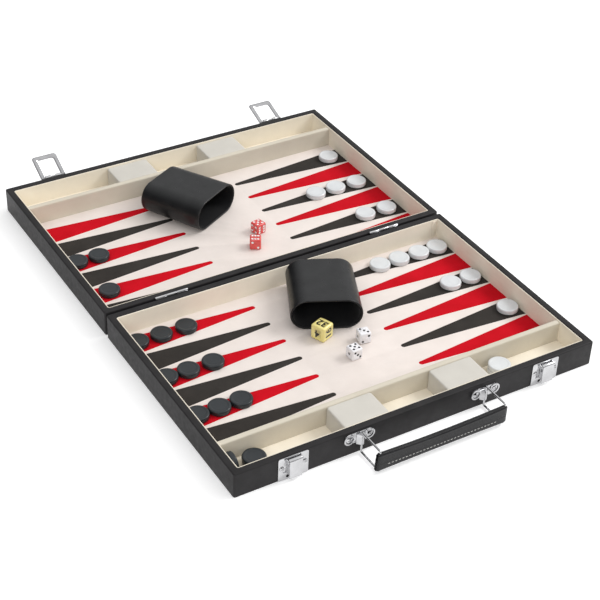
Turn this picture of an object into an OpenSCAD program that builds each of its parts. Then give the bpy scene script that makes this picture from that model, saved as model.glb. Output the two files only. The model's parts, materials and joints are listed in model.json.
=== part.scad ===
// Backgammon case. Two hinged trays open flat into a lined playing board, with
// draw latches, a folding handle, dice cups, dice, a doubling cube and checkers.
// Millimetres. The origin is the centre of the base tray's underside, +X runs
// to the right along the hinge line, +Y towards the lid and +Z up.

/* [Trays] */
// Length of each tray along the hinge line
case_l = 380; // [376:1:388]
// Depth of each tray across the hinge line
half_d = 250; // [250:1:254]
// Height of each tray
half_h = 25.6; // [25.6:0.1:26]
// Gap between the trays when the case lies open
seam_gap = 3.2; // [3.2:0.1:3.6]
// Thickness of the leatherette skin
skin_t = 0.9; // [0.7:0.1:1.1]
// Thickness of the wooden wall under the skin
wall_t = 6; // [5.5:0.1:6.5]
// Radius of the trays' outer corners
corner_r = 2; // [1.5:0.5:6]
// Top of the hardboard floor
floor_z = 2.2; // [2.1:0.1:3]
// Thickness of the velour lining
lining_t = 1.1; // [0.9:0.1:1.3]

/* [Playing surface] */
// Depth of the storage trough along the outer wall
trough_d = 32; // [30:0.5:33]
// Thickness of the divider beside the trough
divider_t = 6; // [5:0.5:6]
// Height of the divider's top
divider_z = 24.1; // [20:0.1:24.4]
// Distance between neighbouring points
point_pitch = 30; // [29:0.5:30]
// Width of a point at its base
point_w = 28.4; // [26:0.2:28.6]
// Length of a point
point_l = 136.3; // [120:0.1:140]
// Radius of a point's tip
point_tip_r = 2.6; // [1:0.1:3]

/* [Checkers and dice] */
// Diameter of a checker
checker_d = 21.5; // [19:0.1:22]
// Thickness of a checker
checker_t = 5.4; // [4.5:0.1:7]
// Size of a playing die
die_s = 11.8; // [10:0.1:11.8]
// Size of the doubling cube
cube_s = 16; // [14:0.5:16]

/* [Dice cups] */
// Width of a cup's mouth
cup_w = 70; // [66:0.5:70]
// Height of a cup's mouth as it lies on its side
cup_h = 33.5; // [29:0.1:33.5]
// Length of a cup
cup_l = 74; // [66:0.5:74]
// Size of the closed end against the mouth
cup_taper = 0.96; // [0.9:0.01:0.97]
// Thickness of a cup's wall
cup_wall = 1.8; // [1.5:0.1:2.2]

/* [Hardware] */
// Distance of each hinge from the middle of the seam
hinge_x = 121; // [100:1:140]
// Length of a hinge
hinge_l = 33; // [33:0.5:36]
// Distance of each latch from the middle of the front wall
latch_x = 133.5; // [125:0.5:150]
// Length of a hasp loop from its pivot to its tip
loop_l = 28.5; // [28:0.1:28.6]
// Rest angle of the left-hand hasp loop
loop_tilt_left = 26; // [10:1:30]
// Rest angle of the right-hand hasp loop
loop_tilt_right = 19; // [10:1:30]
// Distance of each handle bracket from the middle of the front wall
bracket_x = 66.9; // [60:0.1:68]
// Reach of the handle rings from bracket to grip
ring_reach = 28.5; // [20:0.5:30]
// Sideways place of the whole handle
handle_x = -1.5; // [-2:0.5:2]
// Radius of the handle rings' wire
ring_wire_r = 1; // [0.8:0.05:1]
// Thickness of the grip
grip_t = 5.2; // [4.6:0.1:6]

/* [Hidden] */

// Levels and insets of the trays, from the outside in
frame_in = skin_t + wall_t;
lining_in = frame_in + lining_t;
floor_r = corner_r - lining_t;
lining_z = half_h - 0.6;
felt_z = floor_z + 1;
inner_l = case_l - 2 * lining_in;
trough_y = half_d - lining_in - trough_d;
divider_y = trough_y - divider_t;
inlay_z = felt_z - 0.15;
// Width of a glued joint between two strips of one node
glue_gap = 0.05;
// How far a cutting shape runs past what it cuts
cut = 1;

// The seam: the hinge axis lies half a millimetre above the rims, so that the
// closed rims stand a millimetre apart
seam_y = half_d / 2 + seam_gap / 2;
hinge_z = half_h + 0.5;
rear_y = half_d * 1.5 + seam_gap;

// Points, counted outwards from the seam
point_count = 6;
first_point_y = 27.2;
tip_x = inner_l / 2 - point_l + point_tip_r;
tip_angle = atan(point_w / 2 / (point_l - point_tip_r))
    - asin(point_tip_r / norm([point_w / 2, point_l - point_tip_r]));

// Blocks in the troughs
block_x = 54;
block_w = 46;
block_z = divider_z - 0.2;
block_r = 2;

// Hinges
leaf_t = 0.8;
leaf_top = 1.9;
leaf_bottom = 17.5;
barrel_r = 1.3;
hinge_pin_r = 0.65;
hinge_bore_r = 0.7;
knuckle_gap = 0.3;
middle_knuckle = 5.7;
hinge_screws = [[-11, -8.5], [0, -13.5], [11, -8.5]];

// Screws
shank_r = 1.1;
shank_l = 5;
hole_gap = 0.05;
head_r = 2;

// Latches: places are given out from the wall and up from the underside
plate_t = 0.9;
latch_w = 29.5;
latch_h = 24.3;
latch_low = 0.1;
latch_screw_dx = 11.3;
latch_screw_z = 13.6;
// A pair of round holes in the plate beside the lever's foot
latch_hole = [5.4, 3.6];
latch_hole_r = 1.6;
lever_w = 12.6;
lever_pivot = [3.4, 21.2];
lever_r = 2.2;
lever_low = 3.4;
lever_foot = 7.2;
lever_pin_r = 0.8;
lever_bore_r = 0.85;
ear_x = 6.6;
ear_t = 1;

// Hasps
hasp_pivot = [5.5, 22.5];
hasp_h = 12.8;
hasp_knuckle_r = 2;
loop_pin_r = 1;
loop_bore_r = 1.07;
loop_t = 1.2;
loop_bar = 5.2;
loop_half_w = 13.8;
loop_hole_half_w = 9.3;
loop_corner_r = 3;

// Handle
// Height of the left and of the right bracket, which differ a little
bracket_z = [18.1, 15.7];
bracket_pad = [31, 10.8, 1];
tunnel_d = 2.9;
// How far the tunnel lies from the bracket's middle, towards the grip's middle
tunnel_shift = 1.5;
ring_x = bracket_x - tunnel_shift;
bridge_below = 7;
bridge_above = 3.2;
boss_r = 5.3;
boss_hole_r = 3.9;
boss_t = 2;
tunnel_r = ring_wire_r + 0.08;
ring_low = 1.7;
ring_high = 23.6;
ring_bend = ring_wire_r + 0.25;
bracket_screw_dx = 10.2;
// How far the grip runs past each ring's bar, and its shift to the left
grip_over = 3.2;
grip_shift = 1.3;
grip_low = ring_low + ring_wire_r + 0.3;
grip_high = ring_high - ring_wire_r - 0.3;
grip_wall = 1.3;
grip_edge = 3.4;

// Cups
liner_t = 0.8;
cup_round = 3;

// Everything loose lies this far above what it rests on, and stacked checkers this far apart
rest_gap = 0.1;
stack_gap = 0.02;
rest_z = felt_z + rest_gap;

// Checkers on one point: [column centres along X, number of the point, side of the seam]
column_white_base_near = [169.2, 146.9, 122.6, 99.3];
column_white_base_middle = [168.6, 144.4];
column_white_base_front = [169.9];
column_white_lid_rear = [165];
column_white_lid_middle = [164.3, 137.7, 112.5];
column_white_lid_front = [164.5, 137.9];
column_black_base_near = [-170.8, -146.4, -120.3];
column_black_base_middle = [-170.7, -148.6, -123.2];
column_black_base_front = [-170.3, -148.6, -126.5];
column_black_lid_rear = [-167.1, -143.6];
column_black_lid_front = [-159.7];

charcoal = [0.24, 0.24, 0.25];
velour = [0.86, 0.83, 0.75];
silver = [0.8, 0.8, 0.82];

// ---------- frames of reference ----------

// A tray is drawn with its seam face at y = 0 and its outer wall at y = half_d
module on_base() translate([0, half_d / 2, 0]) mirror([0, 1, 0]) children();
module on_lid() translate([0, half_d / 2 + seam_gap, 0]) children();
// The hinge axis
module on_seam() translate([0, seam_y, hinge_z]) children();
// Hardware on a wall is drawn with +Y pointing out of the wall
module on_front(x) translate([x, -half_d / 2, 0]) mirror([0, 1, 0]) children();
module on_rear(x) translate([x, rear_y, 0]) children();

// ---------- shared shapes ----------

module rounded_rect(w, d, r) {
    square([w - 2 * r, d], center = true);
    square([w, d - 2 * r], center = true);
    for (sx = [-1, 1], sy = [-1, 1])
        translate([sx * (w / 2 - r), sy * (d / 2 - r)]) circle(r = r, $fn = 48);
}

module stadium(w, d) {
    square([w - d, d], center = true);
    for (sx = [-1, 1]) translate([sx * (w - d) / 2, 0]) circle(d = d, $fn = 48);
}

// A block with the tray's plan, drawn in from its outer faces
module tray_block(inset, z0, z1, r)
    translate([0, half_d / 2, z0])
        linear_extrude(z1 - z0) rounded_rect(case_l - 2 * inset, half_d - 2 * inset, r);

// The slab of the tray's inside between two distances from the seam face
module inner_slab(inset, y0, y1, z0, z1)
    intersection() {
        tray_block(inset, z0, z1, corner_r + frame_in - inset);
        translate([-case_l / 2, y0, z0 - cut]) cube([case_l, y1 - y0, z1 - z0 + 2 * cut]);
    }

// Turns a flat outline into a plate on a wall, growing outwards along +Y
module wall_plate(t) rotate([-90, 0, 0]) linear_extrude(t) children();

module bar_x(r, x0, x1) translate([x0, 0, 0]) rotate([0, 90, 0]) cylinder(r = r, h = x1 - x0, $fn = 48);

// A countersunk screw that points along -Y, with its head flush at y = 0
module flush_screw(head_t, length)
    rotate([90, 0, 0]) {
        cylinder(r1 = head_r, r2 = shank_r, h = head_t, $fn = 32);
        translate([0, 0, head_t]) cylinder(r = shank_r, h = length, $fn = 32);
    }

// The hole that such a screw passes through
module flush_hole(head_t)
    rotate([90, 0, 0]) {
        translate([0, 0, -hole_gap])
            cylinder(r1 = head_r + 2 * hole_gap, r2 = shank_r + hole_gap, h = head_t, $fn = 32);
        translate([0, 0, -cut]) cylinder(r = shank_r + hole_gap, h = head_t + 2 * cut, $fn = 32);
    }

// A pan-head screw that points along -Y, with its head standing on y = 0
module pan_screw(r, head_t, length) {
    difference() {
        rotate([-90, 0, 0]) rotate_extrude($fn = 48)
            intersection() {
                translate([0, head_t - r * 1.6]) circle(r = r * 1.6, $fn = 96);
                square([r, head_t]);
            }
        for (a = [0, 90])
            translate([0, head_t, 0]) rotate([0, a, 0])
                cube([r * 1.2, head_t * 0.8, r * 0.22], center = true);
    }
    rotate([90, 0, 0]) cylinder(r = shank_r, h = length, $fn = 32);
}

// Cuts a tray's ring into two long and two short pieces, mitred at the corners
module mitred() {
    a = case_l / 2;
    b = half_d / 2;
    for (side = [-1, 1]) {
        intersection() {
            children();
            translate([0, b + side * glue_gap, -cut]) linear_extrude(half_h + 2 * cut) scale([1, side])
                polygon([[-a - cut, b + cut], [b - a, 0], [a - b, 0], [a + cut, b + cut]]);
        }
        intersection() {
            children();
            translate([side * glue_gap, b, -cut]) linear_extrude(half_h + 2 * cut) scale([side, 1])
                polygon([[a + cut, -b - cut], [a + cut, b + cut], [a - b, 0]]);
        }
    }
}

// ---------- trays ----------

// The skin: a sheet under the tray, and four strips that wrap the walls and turn in over the rim
module tray_leatherette()
    color(charcoal) {
        tray_block(0, 0, skin_t, corner_r);
        mitred() difference() {
            tray_block(0, skin_t + glue_gap, half_h, corner_r);
            tray_block(skin_t, 0, half_h - skin_t, corner_r - skin_t);
            tray_block(frame_in, half_h - skin_t - cut, half_h + cut, corner_r);
        }
    }

// Four wall boards
module tray_frame()
    color("burlywood") mitred() difference() {
        tray_block(skin_t, skin_t, half_h - skin_t, corner_r - skin_t);
        tray_block(frame_in, 0, half_h, corner_r);
    }

module tray_bottom_board()
    color("peru") tray_block(frame_in, skin_t, floor_z, corner_r);

// The velour on the walls, and on the floor of the trough
module tray_lining()
    color(velour) {
        difference() {
            tray_block(frame_in, floor_z, lining_z, corner_r);
            tray_block(lining_in, floor_z - cut, half_h, floor_r);
        }
        inner_slab(frame_in + lining_t / 2, trough_y, half_d - lining_in + lining_t / 2,
            floor_z, felt_z);
    }

// One point, with its base on the side wall and its tip towards the middle
module point_outline(side, k)
    translate([0, first_point_y + k * point_pitch]) scale([side, 1]) {
        polygon([
            [inner_l / 2, -point_w / 2], [inner_l / 2, point_w / 2],
            [tip_x - point_tip_r * sin(tip_angle), point_tip_r * cos(tip_angle)],
            [tip_x - point_tip_r * sin(tip_angle), -point_tip_r * cos(tip_angle)]]);
        translate([tip_x, 0]) circle(r = point_tip_r, $fn = 32);
    }

// The points on both sides; left_even says that the left side has the even ones
module point_set(left_even)
    translate([0, 0, floor_z]) linear_extrude(inlay_z - floor_z)
        for (k = [0:point_count - 1])
            point_outline((k % 2 == 0) == left_even ? -1 : 1, k);

module tray_play_felt()
    color([0.85, 0.82, 0.78]) difference() {
        inner_slab(lining_in, lining_in, divider_y, floor_z, felt_z);
        translate([0, 0, floor_z - cut]) linear_extrude(3 * cut)
            for (k = [0:point_count - 1], side = [-1, 1]) point_outline(side, k);
    }

module tray_divider()
    color(velour) translate([-inner_l / 2, divider_y, floor_z])
        cube([inner_l, divider_t, divider_z - floor_z]);

module tray_trough_blocks()
    color(velour) for (side = [-1, 1])
        translate([side * block_x, trough_y + trough_d / 2, felt_z])
            linear_extrude(block_z - felt_z) rounded_rect(block_w, trough_d, block_r);

module base_leatherette() on_base() tray_leatherette();
module base_frame() on_base() tray_frame();
module base_bottom_board() on_base() tray_bottom_board();
module base_lining() on_base() tray_lining();
module base_play_felt() on_base() tray_play_felt();
module base_red_points() color("crimson") on_base() point_set(true);
module base_brown_points() color([0.2, 0.17, 0.16]) on_base() point_set(false);
module base_divider() on_base() tray_divider();
module base_trough_blocks() on_base() tray_trough_blocks();

module lid_leatherette() on_lid() tray_leatherette();
module lid_frame() on_lid() tray_frame();
module lid_bottom_board() on_lid() tray_bottom_board();
module lid_lining() on_lid() tray_lining();
module lid_play_felt() on_lid() tray_play_felt();
module lid_red_points() color("crimson") on_lid() point_set(false);
module lid_brown_points() color([0.2, 0.17, 0.16]) on_lid() point_set(true);
module lid_divider() on_lid() tray_divider();
module lid_trough_blocks() on_lid() tray_trough_blocks();

// ---------- hinges ----------

// A leaf on the base side of the seam, with knuckles between the given ends
module hinge_leaf(knuckles)
    difference() {
        union() {
            translate([-hinge_l / 2, -seam_gap / 2, -leaf_bottom])
                cube([hinge_l, leaf_t, leaf_bottom - leaf_top]);
            for (ends = knuckles) {
                translate([ends[0], -seam_gap / 2, -leaf_top - 0.1])
                    cube([ends[1] - ends[0], leaf_t, leaf_top + 0.1]);
                bar_x(barrel_r, ends[0], ends[1]);
            }
        }
        bar_x(hinge_bore_r, -hinge_l, hinge_l);
        for (p = hinge_screws)
            translate([p[0], -seam_gap / 2 + leaf_t, p[1]]) flush_hole(leaf_t);
    }

module hinge_base_leaves()
    color(silver) on_seam() for (side = [-1, 1])
        translate([side * hinge_x, 0, 0])
            hinge_leaf([[-hinge_l / 2, -middle_knuckle], [middle_knuckle, hinge_l / 2]]);

module hinge_lid_leaves()
    color(silver) on_seam() for (side = [-1, 1])
        translate([side * hinge_x, 0, 0]) mirror([0, 1, 0])
            hinge_leaf([[-middle_knuckle + knuckle_gap, middle_knuckle - knuckle_gap]]);

module hinge_pins()
    color(silver) on_seam() for (side = [-1, 1])
        translate([side * hinge_x, 0, 0]) {
            bar_x(hinge_pin_r, -hinge_l / 2 - 0.5, hinge_l / 2 + 0.5);
            for (end = [-1, 1])
                translate([end * (hinge_l / 2 + 0.3), 0, 0]) bar_x(1.2, -0.3, 0.3);
        }

module hinge_screw_set()
    color(silver) for (side = [-1, 1], p = hinge_screws)
        translate([side * hinge_x + p[0], -seam_gap / 2 + leaf_t, p[1]]) flush_screw(leaf_t, shank_l);

module hinge_base_screws() on_seam() hinge_screw_set();
module hinge_lid_screws() on_seam() mirror([0, 1, 0]) hinge_screw_set();

// ---------- draw latches ----------

module latch_plate()
    difference() {
        union() {
            translate([0, 0, latch_low + latch_h / 2])
                wall_plate(plate_t) rounded_rect(latch_w, latch_h, 1.5);
            for (side = [-1, 1])
                translate([side * (ear_x + ear_t / 2), 0, 0]) {
                    translate([-ear_t / 2, plate_t - 0.1, lever_pivot[1] - 1.6])
                        cube([ear_t, lever_pivot[0] - plate_t + 0.1, 3.2]);
                    translate([0, lever_pivot[0], lever_pivot[1]]) bar_x(1.6, -ear_t / 2, ear_t / 2);
                }
        }
        translate([0, lever_pivot[0], lever_pivot[1]]) bar_x(lever_bore_r, -latch_w, latch_w);
        for (side = [-1, 1])
            translate([side * latch_screw_dx, 0, latch_screw_z])
                rotate([90, 0, 0]) cylinder(r = shank_r + hole_gap, h = 4 * cut, center = true, $fn = 32);
        for (side = [-1, 1])
            translate([side * latch_hole[0], 0, latch_hole[1]])
                rotate([90, 0, 0]) cylinder(r = latch_hole_r, h = 4 * cut, center = true, $fn = 32);
    }

module latch_plates()
    color(silver) for (side = [-1, 1]) on_front(side * latch_x) latch_plate();

// A stamped lever: a front plate with a lip, two cheeks and a rolled barrel
module latch_lever()
    color(silver) difference() {
        union() {
            translate([-lever_w / 2, lever_pivot[0] + lever_r - 1, lever_low])
                cube([lever_w, 1, lever_pivot[1] - lever_low]);
            for (side = [-1, 1])
                translate([side * (lever_w / 2 - 0.5) - 0.5, lever_pivot[0] - lever_r, lever_foot])
                    cube([1, 2 * lever_r, lever_pivot[1] - lever_foot]);
            translate([0, lever_pivot[0], lever_pivot[1]]) bar_x(lever_r, -lever_w / 2, lever_w / 2);
        }
        translate([0, lever_pivot[0], lever_pivot[1]]) bar_x(lever_bore_r, -lever_w, lever_w);
    }

module latch_lever_left() on_front(-latch_x) latch_lever();
module latch_lever_right() on_front(latch_x) latch_lever();

module latch_pins()
    color(silver) for (side = [-1, 1]) on_front(side * latch_x)
        translate([0, lever_pivot[0], lever_pivot[1]]) bar_x(lever_pin_r, -8.1, 8.1);

module latch_screws()
    color(silver) for (side = [-1, 1]) on_front(side * latch_x) for (end = [-1, 1])
        translate([end * latch_screw_dx, plate_t, latch_screw_z]) pan_screw(2.3, 1.2, shank_l);

// ---------- hasps ----------

module hasp_plate()
    difference() {
        union() {
            translate([0, 0, 8 + hasp_h / 2]) wall_plate(plate_t) rounded_rect(latch_w, hasp_h, 1.5);
            translate([-8.8, 0, 8 + hasp_h - 1.2]) cube([17.6, hasp_pivot[0], 1.2]);
            for (side = [-1, 1]) translate([side * 5.9, hasp_pivot[0], hasp_pivot[1]])
                bar_x(hasp_knuckle_r, -2.9, 2.9);
        }
        translate([0, hasp_pivot[0], hasp_pivot[1]]) bar_x(loop_bore_r, -latch_w, latch_w);
        for (side = [-1, 1])
            translate([side * latch_screw_dx, 0, 13])
                rotate([90, 0, 0]) cylinder(r = shank_r + hole_gap, h = 4 * cut, center = true, $fn = 32);
    }

module hasp_plates()
    color(silver) for (side = [-1, 1]) on_rear(side * latch_x) hasp_plate();

module hasp_screws()
    color(silver) for (side = [-1, 1]) on_rear(side * latch_x) for (end = [-1, 1])
        translate([end * latch_screw_dx, plate_t, 13]) pan_screw(2.3, 1.2, shank_l);

// A stamped loop: a flat plate with a rounded window, on a pivot bar
module hasp_loop(tilt)
    color(silver) translate([0, hasp_pivot[0], hasp_pivot[1]]) rotate([tilt, 0, 0]) {
        bar_x(loop_pin_r, -loop_half_w, loop_half_w);
        translate([0, 0, -loop_t / 2]) linear_extrude(loop_t) difference() {
            loop_outline(loop_half_w, 0, loop_l, loop_corner_r);
            loop_outline(loop_hole_half_w, -cut, loop_l - loop_bar, loop_corner_r);
        }
    }

// A flat outline from y0 to y1 with its two far corners rounded
module loop_outline(half_w, y0, y1, r) {
    translate([-half_w, y0]) square([2 * half_w, y1 - y0 - r]);
    translate([-half_w + r, y0]) square([2 * (half_w - r), y1 - y0]);
    for (side = [-1, 1]) translate([side * (half_w - r), y1 - r]) circle(r = r, $fn = 48);
}

module hasp_loop_left() on_rear(-latch_x) hasp_loop(loop_tilt_left);
module hasp_loop_right() on_rear(latch_x) hasp_loop(loop_tilt_right);

// ---------- handle ----------

// A pad with a raised rim round each screw and a bridge over the ring's upright bar
module handle_bracket(side)
    translate([0, 0, side < 0 ? bracket_z[0] : bracket_z[1]]) difference() {
        union() {
            wall_plate(bracket_pad[2]) stadium(bracket_pad[0], bracket_pad[1]);
            for (end = [-1, 1]) translate([end * bracket_screw_dx, 0, 0])
                wall_plate(boss_t) difference() {
                    circle(r = boss_r, $fn = 48);
                    circle(r = boss_hole_r, $fn = 48);
                }
            translate([-side * tunnel_shift, 0, -bridge_below])
                linear_extrude(bridge_below + bridge_above) {
                polygon([[-4.5, 0.8], [4.5, 0.8], [4.5, 1.6], [1.5, 4.4], [-1.5, 4.4], [-4.5, 1.6]]);
                translate([0, tunnel_d]) circle(r = 2.1, $fn = 48);
            }
        }
        translate([-side * tunnel_shift, tunnel_d, -half_h])
            cylinder(r = tunnel_r, h = 2 * half_h, $fn = 48);
        for (end = [-1, 1])
            translate([end * bracket_screw_dx, 0, 0])
                rotate([90, 0, 0]) cylinder(r = shank_r + hole_gap, h = 4 * cut, center = true, $fn = 32);
    }

module handle_brackets()
    color(silver) for (side = [-1, 1]) on_front(handle_x + side * bracket_x) handle_bracket(side);

module handle_screws()
    color(silver) for (side = [-1, 1]) on_front(handle_x + side * bracket_x) for (end = [-1, 1])
        translate([end * bracket_screw_dx, bracket_pad[2], side < 0 ? bracket_z[0] : bracket_z[1]])
            pan_screw(3.4, 1.5, shank_l);

// A rectangular wire ring that stands upright and points out of the wall
module handle_ring() {
    reach = ring_reach;
    rise = ring_high - ring_low;
    color(silver) translate([0, tunnel_d, ring_low]) {
        for (d = [0, reach])
            translate([0, d, ring_bend]) cylinder(r = ring_wire_r, h = rise - 2 * ring_bend, $fn = 48);
        for (z = [0, rise])
            translate([0, ring_bend, z]) rotate([-90, 0, 0])
                cylinder(r = ring_wire_r, h = reach - 2 * ring_bend, $fn = 48);
        // The four bends: [out, up, turn about X]
        for (bend = [[ring_bend, ring_bend, 180], [reach - ring_bend, ring_bend, 270],
                [reach - ring_bend, rise - ring_bend, 0], [ring_bend, rise - ring_bend, 90]])
            translate([0, bend[0], bend[1]]) rotate([bend[2], 0, 0]) rotate([90, 0, 90])
                rotate_extrude(angle = 90, $fn = 48)
                    translate([ring_bend, 0]) circle(r = ring_wire_r, $fn = 48);
    }
}

module handle_ring_left() on_front(handle_x - ring_x) handle_ring();
module handle_ring_right() on_front(handle_x + ring_x) handle_ring();

// A flat bar with the grip's outline, drawn in from its faces and its long edges
module grip_bar(inset, edge, half_l, r)
    translate([0, tunnel_d + ring_reach, (grip_low + grip_high) / 2]) rotate([90, 0, 90])
        translate([0, 0, -half_l]) linear_extrude(2 * half_l)
            rounded_rect(grip_t - 2 * inset, grip_high - grip_low - 2 * edge, r);

module grip_core()
    color("gray") on_front(handle_x) grip_bar(grip_wall, grip_edge, ring_x - 5, 0.8);

module grip_cover()
    color([0.1, 0.1, 0.11]) on_front(handle_x) difference() {
        translate([-grip_shift, 0, 0]) grip_bar(0, 0, ring_x + grip_over, 2.2);
        grip_bar(grip_wall, grip_edge, ring_x - 5, 0.8);
        for (side = [-1, 1])
            translate([side * ring_x, tunnel_d + ring_reach, 0])
                cylinder(r = tunnel_r, h = half_h, $fn = 48);
    }

// ---------- dice cups ----------

// Size of a cup's section at x along its axis, against the mouth
function cup_size(x) = 1 - (1 - cup_taper) * x / cup_l;

// The flat-oval body, lying on its flat side along +X with its mouth at x = start
module cup_body(inset, start) {
    end = cup_l - inset;
    // Slices: [place along the axis, size against the mouth, extra inset]
    slices = [[start, cup_size(start), 0], [end - cup_round, cup_size(end - cup_round), 0],
        [end - 0.1, cup_taper, cup_round * 0.45]];
    hull() for (s = slices, side = [-1, 1]) {
        r = cup_h / 2 * s[1] - inset - s[2];
        translate([s[0], side * (cup_w - cup_h) / 2 * s[1], cup_h / 2 * s[1]])
            rotate([0, 90, 0]) cylinder(r = r, h = 0.1, $fn = 40);
    }
}

module cup_shell()
    color(charcoal) difference() {
        cup_body(0, 0);
        cup_body(cup_wall, -cut);
    }

module cup_liner()
    color([0.07, 0.07, 0.08]) difference() {
        cup_body(cup_wall, 1);
        cup_body(cup_wall + liner_t, -cut);
    }

// Each cup lies with its mouth towards the front
module at_front_cup() translate([-3.1, seam_y - 92.4, rest_z]) rotate([0, 0, 64.7]) children();
module at_rear_cup() translate([-6.2, seam_y + 124.4, rest_z]) rotate([0, 0, 118.6]) children();

module front_cup_shell() at_front_cup() cup_shell();
module front_cup_liner() at_front_cup() cup_liner();
module rear_cup_shell() at_rear_cup() cup_shell();
module rear_cup_liner() at_rear_cup() cup_liner();

// ---------- dice ----------

// Places of the pips on a face, as parts of the die's size
function pips(n) = concat(
    n % 2 == 1 ? [[0, 0]] : [],
    n > 1 ? [[-1, -1], [1, 1]] : [],
    n > 3 ? [[-1, 1], [1, -1]] : [],
    n == 6 ? [[-1, 0], [1, 0]] : []) * 0.25;

// Pips of a face. A number below zero has its pattern turned a quarter round
function face_pips(n) = n > 0 ? pips(n) : [for (p = pips(-n)) [-p[1], p[0]]];

// A cube with rounded corners, standing on z = 0
module rounded_cube(size)
    translate([0, 0, size / 2]) intersection() {
        cube(size, center = true);
        sphere(r = size * 0.74, $fn = 96);
    }

// A die. faces: the numbers on top, left, right, bottom, back and front
module die(faces) {
    turns = [[0, 0, 0], [0, -90, 0], [0, 90, 0], [180, 0, 0], [-90, 0, 0], [90, 0, 0]];
    difference() {
        rounded_cube(die_s);
        for (i = [0:5], p = face_pips(faces[i]))
            translate([0, 0, die_s / 2]) rotate(turns[i])
                translate([p[0] * die_s, p[1] * die_s, die_s / 2 - 0.25])
                    cylinder(r = die_s * 0.085, h = cut, $fn = 24);
    }
}

module at_table(x, y, yaw) translate([x, seam_y + y, rest_z]) rotate([0, 0, yaw]) children();

module white_die_near() color("white") at_table(-2.6, -141.2, 3) die([5, 1, 6, 2, 4, -3]);
module white_die_far() color("white") at_table(18.6, -124.1, -10) die([-3, 1, 6, 4, 5, 2]);
module red_die_near() color("crimson") at_table(5.8, 62.1, -30) die([-6, 3, 4, 1, 5, -2]);
module red_die_far() color("crimson") at_table(22.1, 85.5, 12) die([5, 4, 3, 2, 1, 6]);
module doubling_cube() color([0.93, 0.88, 0.6]) at_table(-13.1, -100.6, 22) rounded_cube(cube_s);

// ---------- checkers ----------

// A turned disc with a raised rim and a ring groove on both faces
module checker() {
    r = checker_d / 2;
    half_t = checker_t / 2;
    profile = [[0, half_t - 0.9], [r * 0.5, half_t - 0.9], [r * 0.5, half_t - 0.5],
        [r * 0.66, half_t - 0.5], [r * 0.66, half_t - 1], [r * 0.8, half_t - 1],
        [r * 0.86, half_t], [r - 0.7, half_t], [r, half_t - 0.8]];
    back = [for (i = [len(profile) - 1:-1:0]) [profile[i][0], -profile[i][1]]];
    translate([0, 0, half_t]) rotate_extrude($fn = 96) polygon(concat(profile, back));
}

// A row of flat checkers on point k of a tray; tray is -1 for the base and 1 for the lid
module checker_row(columns, k, tray)
    for (x = columns)
        translate([x, seam_y + tray * (seam_gap / 2 + first_point_y + k * point_pitch), rest_z]) checker();

module white_row(columns, k, tray) color([0.92, 0.91, 0.93]) checker_row(columns, k, tray);
module black_row(columns, k, tray) color([0.2, 0.22, 0.23]) checker_row(columns, k, tray);

module white_base_right_near() white_row(column_white_base_near, 0, -1);
module white_base_right_middle() white_row(column_white_base_middle, 2, -1);
module white_base_right_front() white_row(column_white_base_front, 4, -1);
module white_lid_right_rear() white_row(column_white_lid_rear, 5, 1);
module white_lid_right_middle() white_row(column_white_lid_middle, 3, 1);
module white_lid_right_front() white_row(column_white_lid_front, 1, 1);
module black_base_left_near() black_row(column_black_base_near, 0, -1);
module black_base_left_middle() black_row(column_black_base_middle, 2, -1);
module black_base_left_front() black_row(column_black_base_front, 4, -1);
module black_lid_left_rear() black_row(column_black_lid_rear, 3, 1);
module black_lid_left_front() black_row(column_black_lid_front, 1, 1);

// Two checkers lying on each other in the right compartment of the front trough
module white_trough_stack()
    color([0.92, 0.91, 0.93]) for (level = [0, 1])
        at_table(102.9, -224.5, 0) translate([0, 0, level * (checker_t + stack_gap)]) checker();

// The left compartment: one checker on edge against the side wall, and a stack of two
module black_trough_set()
    color([0.2, 0.22, 0.23]) {
        at_table(-181.6, -226.5, 0) translate([0, 0, checker_d / 2]) rotate([0, 90, 0]) checker();
        for (level = [0, 1])
            at_table(-156 - level, -225.9 - level, 0)
                translate([0, 0, level * (checker_t + stack_gap)]) checker();
    }

// ---------- the nodes ----------

base_leatherette();
base_frame();
base_bottom_board();
base_lining();
base_play_felt();
base_red_points();
base_brown_points();
base_divider();
base_trough_blocks();
lid_leatherette();
lid_frame();
lid_bottom_board();
lid_lining();
lid_play_felt();
lid_red_points();
lid_brown_points();
lid_divider();
lid_trough_blocks();
hinge_base_leaves();
hinge_lid_leaves();
hinge_pins();
hinge_base_screws();
hinge_lid_screws();
latch_plates();
latch_lever_left();
latch_lever_right();
latch_pins();
latch_screws();
hasp_plates();
hasp_loop_left();
hasp_loop_right();
hasp_screws();
handle_brackets();
handle_screws();
handle_ring_left();
handle_ring_right();
grip_core();
grip_cover();
front_cup_shell();
front_cup_liner();
rear_cup_shell();
rear_cup_liner();
white_die_near();
white_die_far();
red_die_near();
red_die_far();
doubling_cube();
white_base_right_near();
white_base_right_middle();
white_base_right_front();
white_lid_right_rear();
white_lid_right_middle();
white_lid_right_front();
white_trough_stack();
black_base_left_near();
black_base_left_middle();
black_base_left_front();
black_lid_left_rear();
black_lid_left_front();
black_trough_set();
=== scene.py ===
"""The looks of the backgammon case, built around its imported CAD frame.

Lengths in the builders are millimetres, and put() turns them into metres. A tray is
drawn in its own frame: x along the seam, t outwards from the seam face, z up.
"""

import json
import math
import random

import bmesh
import bpy
from mathutils import Matrix, Vector

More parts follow.
